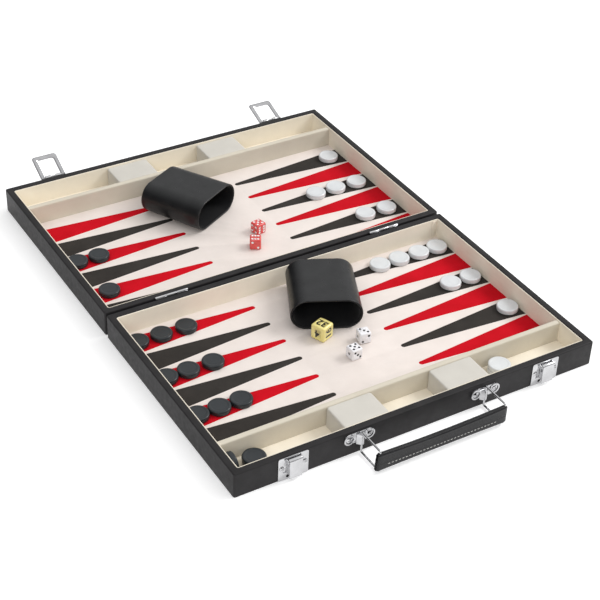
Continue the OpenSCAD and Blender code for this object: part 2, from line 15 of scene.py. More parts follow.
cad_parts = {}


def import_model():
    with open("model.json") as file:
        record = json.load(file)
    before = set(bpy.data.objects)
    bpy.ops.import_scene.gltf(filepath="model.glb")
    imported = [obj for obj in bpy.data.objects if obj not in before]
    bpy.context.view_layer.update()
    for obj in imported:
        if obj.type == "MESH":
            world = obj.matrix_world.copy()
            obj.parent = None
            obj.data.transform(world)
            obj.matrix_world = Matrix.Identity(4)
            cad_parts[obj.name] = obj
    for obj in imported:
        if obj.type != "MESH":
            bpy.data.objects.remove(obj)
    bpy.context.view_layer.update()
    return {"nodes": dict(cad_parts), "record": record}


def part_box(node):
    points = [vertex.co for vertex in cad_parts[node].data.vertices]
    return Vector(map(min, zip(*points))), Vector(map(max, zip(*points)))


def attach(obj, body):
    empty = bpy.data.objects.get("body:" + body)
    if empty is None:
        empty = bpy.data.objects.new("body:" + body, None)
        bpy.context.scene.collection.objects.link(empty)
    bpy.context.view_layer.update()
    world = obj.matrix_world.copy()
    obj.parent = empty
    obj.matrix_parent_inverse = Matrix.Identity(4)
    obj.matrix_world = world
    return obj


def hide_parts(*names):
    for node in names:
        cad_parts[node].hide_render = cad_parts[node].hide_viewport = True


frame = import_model()
nodes = frame["nodes"]
slot_of = {part["node"]: part["material_slot"] for part in frame["record"]["subparts"]}
MM = 0.001

# ---------- sizes that the frame's boxes don't give ----------

WALL = 6.9  # a tray wall with its skin, up to the lining
SKIN = 0.9
LINING = 1.1
CORNER_R = 2.0
FLOOR_Z = 2.2  # top of the hardboard floor
FELT_Z = 3.2  # top of the felt and of the trough's cloth

# The hasp loops: half width, length from the bar, widths of the sides and of the end,
# half thickness at the dome's top, and the round bar's radius
LOOP_HALF_W, LOOP_L = 13.8, 28.5
LOOP_SIDE, LOOP_END = 4.5, 5.2
LOOP_CORNER_R = 3.0
LOOP_HALF_T = 0.6
LOOP_BAR_R = 1.0
LOOP_TILT = {"left": 26, "right": 19}  # degrees that each is raised

# The cups: the closed end is smaller than the mouth by the taper
CUP_W, CUP_H, CUP_L, CUP_TAPER = 70.0, 33.5, 74.0, 0.96
CUP_WALL, CUP_LINER = 1.8, 0.8
# A cup lies on its flat side: its mouth's place on the felt and the turn of its axis
CUPS = {
    "front_cup": (-3.1, 34.2, 64.7),
    "rear_cup": (-6.2, 251.0, 118.6),
}

# Turn of each die, and its numbers on top, left, right, bottom, back and front.
# A number below zero has its pattern turned a quarter.
DICE = {
    "white_die_near": (3, (5, 1, 6, 2, 4, -3)),
    "white_die_far": (-10, (-3, 1, 6, 4, 5, 2)),
    "red_die_near": (-30, (-6, 3, 4, 1, 5, -2)),
    "red_die_far": (12, (5, 4, 3, 2, 1, 6)),
}
CUBE_TURN = 22
# The doubling cube's numerals in the same order, each with its own turn on its face
CUBE_NUMBERS = (("32", 90), ("4", 90), ("8", 0), ("2", 0), ("64", 0), ("16", 90))


# ---------- materials ----------


def start_material(name, settings):
    """A new material whose shader has these values on its own sockets."""
    made = bpy.data.materials.new(name)
    made.use_nodes = True
    shader = made.node_tree.nodes["Principled BSDF"]
    for socket, value in settings.items():
        shader.inputs[socket].default_value = value
    return made, made.node_tree, shader


def coordinates(tree, stretch=(1, 1, 1)):
    """Object coordinates, stretched along an axis for grain that runs one way."""
    source = tree.nodes.new("ShaderNodeTexCoord").outputs["Object"]
    if stretch == (1, 1, 1):
        return source
    mapping = tree.nodes.new("ShaderNodeMapping")
    mapping.inputs["Scale"].default_value = stretch
    tree.links.new(source, mapping.inputs["Vector"])
    return mapping.outputs["Vector"]


def noise(tree, scale, detail=2.0, stretch=(1, 1, 1), roughness=0.5):
    """Cloud noise with this many cells to the metre."""
    made = tree.nodes.new("ShaderNodeTexNoise")
    made.inputs["Scale"].default_value = scale
    made.inputs["Detail"].default_value = detail
    made.inputs["Roughness"].default_value = roughness
    tree.links.new(coordinates(tree, stretch), made.inputs["Vector"])
    return made.outputs["Fac"]


def cells(tree, scale):
    """Cracked cells, as in leather grain."""
    made = tree.nodes.new("ShaderNodeTexVoronoi")
    made.feature = "DISTANCE_TO_EDGE"
    made.inputs["Scale"].default_value = scale
    tree.links.new(coordinates(tree), made.inputs["Vector"])
    return made.outputs["Distance"]


def ramp(tree, factor, low, high, start=0.3, end=0.7):
    """Turns a texture into a colour between low and high."""
    made = tree.nodes.new("ShaderNodeValToRGB")
    for stop, place, colour in zip(made.color_ramp.elements, (start, end), (low, high)):
        stop.position = place
        stop.color = (*colour, 1.0)
    tree.links.new(factor, made.inputs["Fac"])
    return made.outputs["Color"]


def spread(tree, factor, low, high):
    """Turns a texture into a number between low and high."""
    made = tree.nodes.new("ShaderNodeMapRange")
    made.inputs["From Min"].default_value = 0.3
    made.inputs["From Max"].default_value = 0.7
    made.inputs["To Min"].default_value = low
    made.inputs["To Max"].default_value = high
    tree.links.new(factor, made.inputs["Value"])
    return made.outputs["Result"]


def add_bumps(tree, shader, heights):
    """Chains bumps: each is a texture, its depth in metres and its strength."""
    normal = None
    for height, depth, strength in heights:
        made = tree.nodes.new("ShaderNodeBump")
        made.inputs["Distance"].default_value = depth
        made.inputs["Strength"].default_value = strength
        tree.links.new(height, made.inputs["Height"])
        if normal is not None:
            tree.links.new(normal, made.inputs["Normal"])
        normal = made.outputs["Normal"]
    tree.links.new(normal, shader.inputs["Normal"])


def leather_material(name, dark, light, roughness, grain, depth, shine):
    """Leather with this many cells of grain to the metre, and this depth of grain."""
    made, tree, shader = start_material(name, {"Specular IOR Level": shine})
    tone = ramp(tree, noise(tree, 55, 4), dark, light)
    tree.links.new(tone, shader.inputs["Base Color"])
    rough = spread(tree, noise(tree, 210, 3), roughness - 0.05, roughness + 0.06)
    tree.links.new(rough, shader.inputs["Roughness"])
    heights = [(cells(tree, grain), depth, 0.45), (noise(tree, grain * 2.6, 3), depth * 0.6, 0.4)]
    add_bumps(tree, shader, heights)
    return made


def pile_material(name, dark, light, sheen, pile=1500.0, depth=0.00012):
    """Short-pile cloth: brushed patches, a fine pile and a soft sheen at grazing angles."""
    settings = {"Roughness": 0.95, "Specular IOR Level": 0.15, "Sheen Weight": sheen}
    settings["Sheen Roughness"] = 0.4
    made, tree, shader = start_material(name, settings)
    tone = ramp(tree, noise(tree, 38, 5, roughness=0.65), dark, light, 0.25, 0.75)
    tree.links.new(tone, shader.inputs["Base Color"])
    heights = [(noise(tree, 90, 3), 0.0003, 0.12), (noise(tree, pile, 3, roughness=0.7), depth, 0.7)]
    add_bumps(tree, shader, heights)
    return made


def metal_material(name, low, high, roughness, scratch):
    """Plated metal with faint waves and fine marks, stretched where scratch is below 1."""
    made, tree, shader = start_material(name, {"Metallic": 1.0})
    tone = ramp(tree, noise(tree, 120, 3), low, high)
    tree.links.new(tone, shader.inputs["Base Color"])
    rough = spread(tree, noise(tree, 260, 4), roughness * 0.7, roughness * 1.5)
    tree.links.new(rough, shader.inputs["Roughness"])
    heights = [(noise(tree, 150, 2), 0.0004, 0.05), (noise(tree, 900, 2, scratch), 0.00003, 0.15)]
    add_bumps(tree, shader, heights)
    return made


def resin_material(name, dark, light, roughness, extra=None):
    """Moulded or turned resin with faint clouding and polish marks."""
    settings = {"Specular IOR Level": 0.5, "Coat Weight": 0.25, "Coat Roughness": 0.08}
    settings.update(extra or {})
    made, tree, shader = start_material(name, settings)
    tone = ramp(tree, noise(tree, 90, 3), dark, light)
    tree.links.new(tone, shader.inputs["Base Color"])
    rough = spread(tree, noise(tree, 160, 2), roughness * 0.88, roughness * 1.12)
    tree.links.new(rough, shader.inputs["Roughness"])
    add_bumps(tree, shader, [(noise(tree, 240, 2), 0.00004, 0.08)])
    return made


def wood_material(name, dark, light, along):
    """Wood or board, with its grain stretched where along is below 1."""
    made, tree, shader = start_material(name, {"Roughness": 0.7})
    grain = noise(tree, 240, 6, along, 0.6)
    tree.links.new(ramp(tree, grain, dark, light), shader.inputs["Base Color"])
    add_bumps(tree, shader, [(grain, 0.0003, 0.4)])
    return made


LOOKS = {
    "leatherette": leather_material(
        "leatherette", (0.014, 0.013, 0.0135), (0.023, 0.0215, 0.0225), 0.48, 950, 0.00008, 0.2),
    "velour_lining": pile_material(
        "velour_lining", (0.83, 0.76, 0.635), (0.90, 0.83, 0.70), 0.1),
    # A darker copy of the lining velour for the trough blocks: painted shade that dims their
    # well-lit tops.
    "block_cloth": pile_material(
        "block_cloth", (0.57, 0.545, 0.495), (0.63, 0.605, 0.55), 0.08),
    "play_felt": pile_material(
        "play_felt", (0.735, 0.665, 0.62), (0.805, 0.73, 0.685), 0.08, 1700),
    # A darker copy of the lining velour for the dividers: painted shade that dims their well-lit
    # tops.
    "divider_cloth": pile_material(
        "divider_cloth", (0.60, 0.55, 0.455), (0.66, 0.61, 0.51), 0.1),
    "red_felt": pile_material(
        "red_felt", (0.47, 0.001, 0.007), (0.60, 0.003, 0.014), 0.0, 1700),
    "brown_felt": pile_material(
        "brown_felt", (0.027, 0.0235, 0.021), (0.043, 0.038, 0.034), 0.04, 1700),
    "chrome": metal_material(
        "chrome", (0.48, 0.48, 0.49), (0.57, 0.57, 0.58), 0.14, (1, 1, 1)),
    # A darker copy of the chrome for the hasp loops: painted shade that dims their reflections.
    "loop_chrome": metal_material(
        "loop_chrome", (0.38, 0.38, 0.39), (0.47, 0.47, 0.48), 0.09, (1, 1, 1)),
    "steel_pins": metal_material(
        "steel_pins", (0.55, 0.55, 0.57), (0.64, 0.64, 0.66), 0.28, (0.05, 1, 1)),
    "black_leather": leather_material(
        "black_leather", (0.006, 0.006, 0.007), (0.011, 0.011, 0.012), 0.28, 1300, 0.00006, 0.28),
    "cup_leather": leather_material(
        "cup_leather", (0.009, 0.0093, 0.010), (0.015, 0.0155, 0.0165), 0.32, 1200, 0.00004, 0.34),
    "cup_felt": pile_material(
        "cup_felt", (0.008, 0.008, 0.009), (0.016, 0.016, 0.017), 0.10, 1300),
    "white_checker": resin_material(
        "white_checker", (0.62, 0.64, 0.655), (0.69, 0.71, 0.72), 0.24),
    "black_checker": resin_material(
        "black_checker", (0.013, 0.017, 0.020), (0.018, 0.022, 0.026), 0.32,
        {"Coat Weight": 0.05, "Specular IOR Level": 0.35}),
    "white_die": resin_material(
        "white_die", (0.84, 0.83, 0.85), (0.88, 0.87, 0.89), 0.14),
    "red_die": resin_material(
        "red_die", (0.78, 0.07, 0.07), (0.88, 0.11, 0.10), 0.1,
        {"Transmission Weight": 0.2, "IOR": 1.49}),
    "ivory_cube": resin_material(
        "ivory_cube", (0.84, 0.72, 0.24), (0.92, 0.81, 0.33), 0.18),
    "wood_board": wood_material(
        "wood_board", (0.45, 0.31, 0.18), (0.66, 0.50, 0.32), (0.06, 1, 1)),
    "hardboard": wood_material(
        "hardboard", (0.26, 0.16, 0.09), (0.34, 0.22, 0.13), (1, 1, 1)),
    "grip_board": wood_material(
        "grip_board", (0.38, 0.33, 0.27), (0.46, 0.41, 0.34), (0.1, 1, 1)),
}
THREAD = pile_material("white_thread", (0.55, 0.54, 0.52), (0.70, 0.69, 0.66), 0.1, 4200, 0.00006)
BLACK_PAINT = resin_material("black_paint", (0.010, 0.010, 0.011), (0.018, 0.018, 0.019), 0.35)
WHITE_PAINT = resin_material("white_paint", (0.80, 0.80, 0.80), (0.86, 0.86, 0.86), 0.35)


# ---------- making pieces ----------


def put(name, bm, body, replaced, slot, materials=None, smooth=38):
    """Makes a piece from a mesh drawn in millimetres. It rides on body and stands for nodes."""
    bmesh.ops.scale(bm, vec=(MM, MM, MM), verts=bm.verts)
    return put_metres(name, bm, body, replaced, slot, materials, smooth)


def put_metres(name, bm, body, replaced, slot, materials=None, smooth=38):
    """Makes a piece from a mesh drawn in metres, with edges sharper than smooth left sharp."""
    bmesh.ops.recalc_face_normals(bm, faces=bm.faces)
    mesh = bpy.data.meshes.new(name)
    bm.to_mesh(mesh)
    bm.free()
    for made in materials or [LOOKS[slot]]:
        mesh.materials.append(made)
    mesh.polygons.foreach_set("use_smooth", [True] * len(mesh.polygons))
    mesh.set_sharp_from_angle(angle=math.radians(smooth))
    piece = bpy.data.objects.new(name, mesh)
    bpy.context.scene.collection.objects.link(piece)
    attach(piece, body)
    if replaced:
        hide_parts(*replaced)
    return piece


def loft(bm, rings, looped=False):
    """Joins rings of points, each as long as the next, and caps them or joins last to first."""
    made = [[bm.verts.new(p) for p in ring] for ring in rings]
    pairs = list(zip(made, made[1:]))
    if looped:
        pairs.append((made[-1], made[0]))
    for one, two in pairs:
        for i in range(len(one)):
            j = (i + 1) % len(one)
            bm.faces.new((one[i], one[j], two[j], two[i]))
    if not looped:
        bm.faces.new(made[0])
        bm.faces.new(made[-1])


def arc(cx, cy, r, start, end, steps=5):
    """Points on an arc from start to end, in degrees."""
    turns = [math.radians(start + (end - start) * i / steps) for i in range(steps + 1)]
    return [(cx + r * math.cos(a), cy + r * math.sin(a)) for a in turns]


def rect_ring(half_x, half_y, r, centre, z, steps=6):
    """A closed ring with rounded corners, level at z."""
    ring = []
    for i, (sx, sy) in enumerate(((1, 1), (-1, 1), (-1, -1), (1, -1))):
        cx = centre[0] + sx * (half_x - r)
        cy = centre[1] + sy * (half_y - r)
        ring += [(x, y, z) for x, y in arc(cx, cy, r, 90 * i, 90 * i + 90, steps)]
    return ring


def lathe(bm, profile, place, segments=72):
    """Turns a profile of (radius, height) about place's own z axis."""
    rings = []
    for i in range(segments):
        a = 2 * math.pi * i / segments
        rings.append([(r * math.cos(a), r * math.sin(a), z) for r, z in profile])
    made = []
    for ring in rings:
        made.append([bm.verts.new(place @ Vector(p)) for p in ring])
    for i in range(segments):
        one, two = made[i], made[(i + 1) % segments]
        for k in range(len(profile) - 1):
            bm.faces.new((one[k], one[k + 1], two[k + 1], two[k]))
    bmesh.ops.remove_doubles(bm, verts=bm.verts, dist=0.0004)


def islands(node):
    """The box of each separate solid in a CAD node, as (low corner, high corner) in mm."""
    bm = bmesh.new()
    bm.from_mesh(nodes[node].data)
    bmesh.ops.remove_doubles(bm, verts=bm.verts, dist=1e-6)
    seen, boxes = set(), []
    for start in bm.verts:
        if start in seen:
            continue
        seen.add(start)
        pending, found = [start], []
        while pending:
            vert = pending.pop()
            found.append(vert.co.copy())
            for edge in vert.link_edges:
                other = edge.other_vert(vert)
                if other not in seen:
                    seen.add(other)
                    pending.append(other)
        low = Vector([min(p[k] for p in found) for k in range(3)]) / MM
        high = Vector([max(p[k] for p in found) for k in range(3)]) / MM
        boxes.append((low, high))
    bm.free()
    return sorted(boxes, key=lambda b: (b[0].x, b[0].y, b[0].z))


def box_mm(node):
    """The low and the high corner of a CAD node's box, in millimetres."""
    low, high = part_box(node)
    return Vector(low) / MM, Vector(high) / MM


def softened(node, body, width, name):
    """A copy of a CAD node with its sharp edges rounded over, which stands for the node."""
    sharp_angle, flat_angle = math.radians(35), math.radians(0.8)
    bm = bmesh.new()
    bm.from_mesh(nodes[node].data)
    bmesh.ops.remove_doubles(bm, verts=bm.verts, dist=2e-6)
    bmesh.ops.dissolve_limit(bm, angle_limit=flat_angle, verts=bm.verts, edges=bm.edges)
    sharp = [e for e in bm.edges if len(e.link_faces) == 2
             and e.calc_face_angle(0) > sharp_angle]
    bmesh.ops.bevel(
        bm, geom=sharp, offset=width * MM, offset_type="OFFSET", segments=3,
        profile=0.5, clamp_overlap=True, affect="EDGES")
    put_metres(name, bm, body, [node], slot_of[node])


def freeze(piece):
    """Applies a piece's modifiers to its mesh."""
    bpy.context.view_layer.update()
    graph = bpy.context.evaluated_depsgraph_get()
    mesh = bpy.data.meshes.new_from_object(piece.evaluated_get(graph))
    piece.modifiers.clear()
    old = piece.data
    piece.data = mesh
    bpy.data.meshes.remove(old)


def carve(piece, cutter_bm):
    """Cuts a mesh drawn in metres out of a piece. The cut faces take the piece's second material."""
    for face in cutter_bm.faces:
        face.material_index = 1
    bmesh.ops.recalc_face_normals(cutter_bm, faces=cutter_bm.faces)
    mesh = bpy.data.meshes.new("cutter")
    cutter_bm.to_mesh(mesh)
    cutter_bm.free()
    for made in piece.data.materials:
        mesh.materials.append(made)
    cutter = bpy.data.objects.new("cutter", mesh)
    bpy.context.scene.collection.objects.link(cutter)
    cut = piece.modifiers.new("cut", "BOOLEAN")
    cut.operation = "DIFFERENCE"
    cut.solver = "EXACT"
    cut.use_self = True
    cut.object = cutter
    freeze(piece)
    bpy.data.objects.remove(cutter)


# ---------- trays ----------


class Tray:
    """Where a tray lies: its middle line, the seam face and which way is outwards."""

    def __init__(self, name):
        low, high = box_mm(name + "_leatherette")
        self.name = name
        self.half_l = (high.x - low.x) / 2
        self.depth = high.y - low.y
        self.top = high.z
        self.way = -1 if name == "base" else 1
        self.face = high.y if name == "base" else low.y

    def at(self, t):
        """The place along Y of a point t outwards from the seam face."""
        return self.face + self.way * t

    def ring(self, inset, z, r):
        """A ring round the tray at height z, drawn in from its outside by inset."""
        centre = (0, self.at(self.depth / 2))
        return rect_ring(self.half_l - inset, self.depth / 2 - inset, r, centre, z)


def tray_skin(tray):
    """Leatherette: the underside, the walls and the rim, rounded where it turns over an edge."""
    top = tray.top
    bottom_r, edge_r, inner_r, least_r = 0.5, 1.2, 0.9, 1.0
    turned_in = top - inner_r - 0.1
    outside = arc(bottom_r, bottom_r, bottom_r, 270, 180)
    outside += arc(edge_r, top - edge_r, edge_r, 180, 90)
    inside = arc(WALL - inner_r, top - inner_r, inner_r, 90, 0)
    inside += [(WALL, turned_in), (SKIN, turned_in), (SKIN, SKIN)]
    rings = [tray.ring(inset, z, max(CORNER_R - inset, least_r)) for inset, z in outside]
    rings += [tray.ring(inset, z, CORNER_R) for inset, z in inside]
    bm = bmesh.new()
    loft(bm, rings)
    put(tray.name + "_skin", bm, tray.name, [tray.name + "_leatherette"], "leatherette")


def trough_start(tray):
    """How far out from the seam face the trough begins."""
    low, high = box_mm(tray.name + "_divider")
    outer = low.y if tray.way < 0 else high.y
    return abs(outer - tray.face)


def trough_floor(bm, tray, inner):
    """A thin cloth between the divider and the outer wall."""
    start = trough_start(tray)
    tucked, corner, soft = 0.3, 2.0, 0.1
    half_x = tray.half_l - inner + tucked
    end = tray.depth - inner + tucked
    centre = (0, tray.at((start + end) / 2))
    half_y = (end - start) / 2
    rings = []
    for inset, z in ((0, FLOOR_Z), (0, FELT_Z - soft), (soft, FELT_Z)):
        rings.append(rect_ring(half_x - inset, half_y - inset, corner - inset, centre, z, 4))
    loft(bm, rings)


def lining_joint(bm, tray, inner, top):
    """Where the lining's end laps onto the seam wall, beside the right-hand corner."""
    thick, near, far, round_r = 0.45, 0.9, 6.6, 0.15
    right = tray.half_l - inner
    low, high = FELT_Z + 1, top - 1.6
    middle = (right - (near + far) / 2, tray.at(inner + thick / 2))
    rings = []
    for inset, z in ((round_r, low), (0, low + 0.2), (0, high - 0.3), (round_r, high)):
        half_x, half_y = (far - near) / 2 - inset, thick / 2 + 0.1 - inset * 0.5
        rings.append(rect_ring(half_x, half_y, round_r, middle, z, 2))
    loft(bm, rings)


def tray_velour(tray):
    """The velour on the walls, with a soft upper edge, and the cloth on the trough's floor."""
    outer, inner, half = WALL, WALL + LINING, LINING / 2
    top = box_mm(tray.name + "_lining")[1].z
    profile = [(outer, FLOOR_Z)]
    profile += arc(outer + half, top - half, half, 180, 0, 8)
    profile += [(inner, FLOOR_Z)]
    rings = []
    for inset, z in profile:
        rings.append(tray.ring(inset, z, CORNER_R - (inset - outer)))
    bm = bmesh.new()
    loft(bm, rings, looped=True)
    trough_floor(bm, tray, inner)
    lining_joint(bm, tray, inner, top)
    put(tray.name + "_velour", bm, tray.name, [tray.name + "_lining"], "velour_lining")


def tray_divider(tray):
    """The velour-covered divider, soft along its top, in a darker copy of the lining velour with
    painted shade.
    """
    low, high = box_mm(tray.name + "_divider")
    half, r, crown, crown_half = (high.y - low.y) / 2, 1.5, 0.12, 0.6
    middle = (low.y + high.y) / 2
    top = high.z - crown
    profile = [(-half, low.z)]
    profile += arc(-half + r, top - r, r, 180, 90)
    profile += [(-crown_half, high.z), (crown_half, high.z)]
    profile += arc(half - r, top - r, r, 90, 0)
    profile += [(half, low.z)]
    rng = random.Random(7)
    rings = []
    count, sway, slimmer = 60, 0.05, 0.99
    for i in range(count + 1):
        x = low.x + (high.x - low.x) * i / count
        lean = rng.uniform(-sway, sway)
        rings.append([(x, middle + y * slimmer + lean, z) for y, z in profile])
    bm = bmesh.new()
    loft(bm, rings)
    # The divider wears the darker copy of the lining velour, with painted shade.
    put(tray.name + "_divider_cover", bm, tray.name, [tray.name + "_divider"],
        "velour_lining", [LOOKS["divider_cloth"]])


def tray_blocks(tray):
    """Two velour-covered blocks in the trough, with soft edges and a slight crown; their velour is a
    darker copy of the lining's, with painted shade.
    """
    r, crown, corner, least_corner = 1.6, 0.3, 2.4, 1.2
    bm = bmesh.new()
    for low, high in islands(tray.name + "_trough_blocks"):
        half_x, half_y = (high.x - low.x) / 2, (high.y - low.y) / 2
        centre = ((low.x + high.x) / 2, (low.y + high.y) / 2)
        top = high.z - crown
        profile = [(0, low.z), (0, low.z + 3)]
        profile += arc(r, top - r, r, 180, 90)
        profile += [(4, top + crown * 0.5), (8, top + crown * 0.85), (half_y - 2, high.z)]
        rings = []
        for inset, z in profile:
            radius = max(corner - inset * 0.4, least_corner)
            rings.append(rect_ring(half_x - inset, half_y - inset, radius, centre, z))
        loft(bm, rings)
    # The block covers wear the darker copy of the lining velour, with painted shade.
    put(tray.name + "_block_covers", bm, tray.name, [tray.name + "_trough_blocks"],
        "velour_lining", [LOOKS["block_cloth"]])


# The ends of the names of each felt's CAD node and of the piece that stands for it
FELTS = {
    "_play_felt": "_playing_felt",
    "_red_points": "_red_inlays",
    "_brown_points": "_brown_inlays",
}
FELT_EDGE = 0.18  # how far the felts' edges are rounded

for tray in (Tray("base"), Tray("lid")):
    tray_skin(tray)
    tray_velour(tray)
    tray_divider(tray)
    tray_blocks(tray)
    for felt, softer in FELTS.items():
        softened(tray.name + felt, tray.name, FELT_EDGE, tray.name + softer)


# ---------- hardware ----------

# How far the edges of plates and wires, and of the small screws, are rounded
PLATE_EDGE, SCREW_EDGE = 0.24, 0.12
HARDWARE = {
    "base": ("hinge_base_leaves", "hinge_base_screws", "latch_plates", "latch_screws",
             "handle_brackets", "handle_screws"),
    "lid": ("hinge_lid_leaves", "hinge_lid_screws", "hasp_plates", "hasp_screws"),
    "lever_left": ("latch_lever_left",),
    "lever_right": ("latch_lever_right",),
    "ring_left": ("handle_ring_left",),
    "ring_right": ("handle_ring_right",),
}
for body, members in HARDWARE.items():
    for member in members:
        edge = SCREW_EDGE if "screws" in member else PLATE_EDGE
        softened(member, body, edge, member + "_rounded")


def loop_outline(half_w, end):
    """One side, the end and the other side of a hasp loop, flat and with rounded corners."""
    r = LOOP_CORNER_R
    points = [(-half_w, (end - r) * i / 4) for i in range(4)]
    points += arc(-half_w + r, end - r, r, 180, 90)
    points += arc(half_w - r, end - r, r, 90, 0)
    points += [(half_w, (end - r) * i / 4) for i in range(3, -1, -1)]
    return points


def hasp_loop(side):
    """A loop stamped from plate, domed across its width, on a round bar."""
    outer = loop_outline(LOOP_HALF_W, LOOP_L)
    inner = loop_outline(LOOP_HALF_W - LOOP_SIDE, LOOP_L - LOOP_END)
    # Across the plate, from its outer edge to its inner edge, and up from its middle
    dome, steps = 0.95, 12
    profile = [(0, -LOOP_HALF_T)]
    for i in range(steps + 1):
        profile.append((i / steps, LOOP_HALF_T - dome * (2 * i / steps - 1) ** 2))
    profile.append((1, -LOOP_HALF_T))
    rings = []
    for (ox, oy), (ix, iy) in zip(outer, inner):
        rings.append([(ox + (ix - ox) * u, oy + (iy - oy) * u, z) for u, z in profile])
    bm = bmesh.new()
    loft(bm, rings)
    soft = 0.25
    ends = [(-LOOP_HALF_W, LOOP_BAR_R - soft), (-LOOP_HALF_W + soft, LOOP_BAR_R)]
    ends += [(-x, r) for x, r in reversed(ends)]
    loft(bm, [[(x, y, z) for y, z in arc(0, 0, r, 0, 337.5, 15)] for x, r in ends])
    low, high = box_mm("hasp_loop_" + side)
    bar = ((low.x + high.x) / 2, low.y + LOOP_BAR_R, low.z + LOOP_BAR_R)
    place = Matrix.Translation(bar) @ Matrix.Rotation(math.radians(LOOP_TILT[side]), 4, "X")
    bmesh.ops.transform(bm, matrix=place, verts=bm.verts)
    # The loop takes the darker copy of the chrome, with painted shade.
    put("hasp_" + side, bm, "loop_" + side, ["hasp_loop_" + side], "chrome",
        [LOOKS["loop_chrome"]])


for side in LOOP_TILT:
    hasp_loop(side)


# ---------- grip ----------


GRIP_R = 2.2  # radius of the grip's long edges
GRIP_WAIST_TOP, GRIP_WAIST_BOTTOM = 2.1, 0.9  # how far its top dips and its bottom rises
GRIP_SWELL = 0.25  # how much each face swells towards the middle
GRIP_LEAN = 0.8  # how far its left end leans inwards at half height
RIB_DEPTH, RIB_PITCH = 0.22, 1.6


def grip_profile(half_t, half_h):
    """The grip's section as (out, up) from its middle, with fine ribs on its upper faces."""
    r = GRIP_R
    rib_end = -half_h * 0.12
    profile = []
    rows = 26
    for side in (1, -1):
        start = 0 if side > 0 else 180
        profile += arc(side * (half_t - r), side * (half_h - r), r, start, start + 90, 6)
        profile += arc(-side * (half_t - r), side * (half_h - r), r, start + 90, start + 180, 6)
        for i in range(1, rows):
            z = side * (half_h - r) * (1 - 2 * i / rows)
            share = 0.5 - 0.5 * math.cos(2 * math.pi * z / RIB_PITCH)
            deep = RIB_DEPTH * share if z > rib_end else 0
            profile.append((-side * (half_t - deep), z))
    return profile


def grip():
    """The leather over the grip, with a waist along its middle and a left end that leans."""
    low, high = box_mm("grip_cover")
    middle = (low + high) / 2
    half_l, half_t, half_h = (high - low) / 2
    # Places along the grip, and how much smaller it is there
    stations = [(-half_l, 1.6), (-half_l + 0.5, 0.7), (-half_l + 1.5, 0.15), (-half_l + 2.4, 0)]
    stations += [(half_l * (i / 20 - 1), 0) for i in range(2, 39)]
    stations += [(-x, inset) for x, inset in reversed(stations[:4])]
    rings = []
    for x, inset in stations:
        share = 1 - (x / half_l) ** 2
        outline = grip_profile(half_t - inset - GRIP_SWELL + GRIP_SWELL * share, half_h - inset)
        ring = []
        for out, up in outline:
            waist = 1 - (GRIP_WAIST_TOP if up > 0 else GRIP_WAIST_BOTTOM) * share / half_h
            lean = max(-x / half_l, 0) * (1 + up / half_h) * GRIP_LEAN
            ring.append((middle.x + x + lean, middle.y - out, middle.z + up * waist))
        rings.append(ring)
    bm = bmesh.new()
    loft(bm, rings)
    put("grip_leather", bm, "grip", ["grip_cover"], "black_leather", smooth=60)
    stitches(middle, half_t, half_l)


def stitches(middle, half_t, half_l):
    """A row of thread on both faces. Each stitch bows out of the leather and dips at its ends."""
    pitch, long, thread_r, bow, sunk = 3.6, 2.3, 0.26, 0.24, 0.1
    row_z = middle.z - 3.6
    bare_ends = 24
    steps = 6
    count = int((2 * half_l - bare_ends) / pitch)
    bm = bmesh.new()
    for side in (1, -1):
        for i in range(count + 1):
            start = (i - count / 2) * pitch - long / 2
            rings = []
            for k in range(steps + 1):
                x = start + long * k / steps
                rise = math.sin(math.pi * k / steps)
                r = thread_r * (0.45 + 0.55 * rise ** 0.5)
                swell = GRIP_SWELL * (1 - (x / half_l) ** 2) - GRIP_SWELL
                y = middle.y - side * (half_t + swell + bow * rise - sunk)
                ring = arc(0, 0, r, 0, 360 - 45, 7)
                rings.append([(middle.x + x, y + out, row_z + up) for out, up in ring])
            loft(bm, rings)
    put("grip_stitches", bm, "grip", [], None, [THREAD], 60)


grip()


# ---------- dice cups ----------


def cup_ring(x, inset):
    """The cup's flat-oval section at x along its axis, drawn in by inset."""
    size = 1 - (1 - CUP_TAPER) * x / CUP_L
    r = CUP_H / 2 * size - inset
    spread_y = (CUP_W - CUP_H) / 2 * size
    middle_z = CUP_H / 2 * size
    ring = []
    for side in (1, -1):
        start = -90 if side > 0 else 90
        for y, z in arc(side * spread_y, middle_z, r, start, start + 180, 22):
            ring.append((x, y, z))
        for k in range(1, 8):
            share = side * spread_y * (1 - k / 4)
            ring.append((x, share, middle_z + side * r))
    return ring


def cup_place(name):
    """Where a cup's frame lies: its mouth is at x = 0 and its axis runs along x."""
    x, y, turn = CUPS[name]
    z = box_mm(name + "_shell")[0].z
    return Matrix.Translation((x, y, z)) @ Matrix.Rotation(math.radians(turn), 4, "Z")


def cup_outline():
    """The cup's shell as (along, inset): from the inside's end, round the lip, to the closed end."""
    lip, end_r = CUP_WALL / 2, 3.0
    inside = [(CUP_L - CUP_WALL, CUP_WALL + 2), (CUP_L - CUP_WALL - 2, CUP_WALL), (30, CUP_WALL)]
    rolled = [0, 20, 40, 65, 90]
    for a in rolled[:-1]:
        turn = math.radians(a)
        inside.append((lip - lip * math.sin(turn), lip + lip * math.cos(turn)))
    outside = []
    for a in reversed(rolled):
        turn = math.radians(a)
        outside.append((lip - lip * math.sin(turn), lip - lip * math.cos(turn)))
    outside += [(x, 0) for x in (6, 14, 24, 34, 44, 54, 62, 68)]
    outside += arc(CUP_L - end_r, end_r, end_r, 270, 360)
    return inside + outside


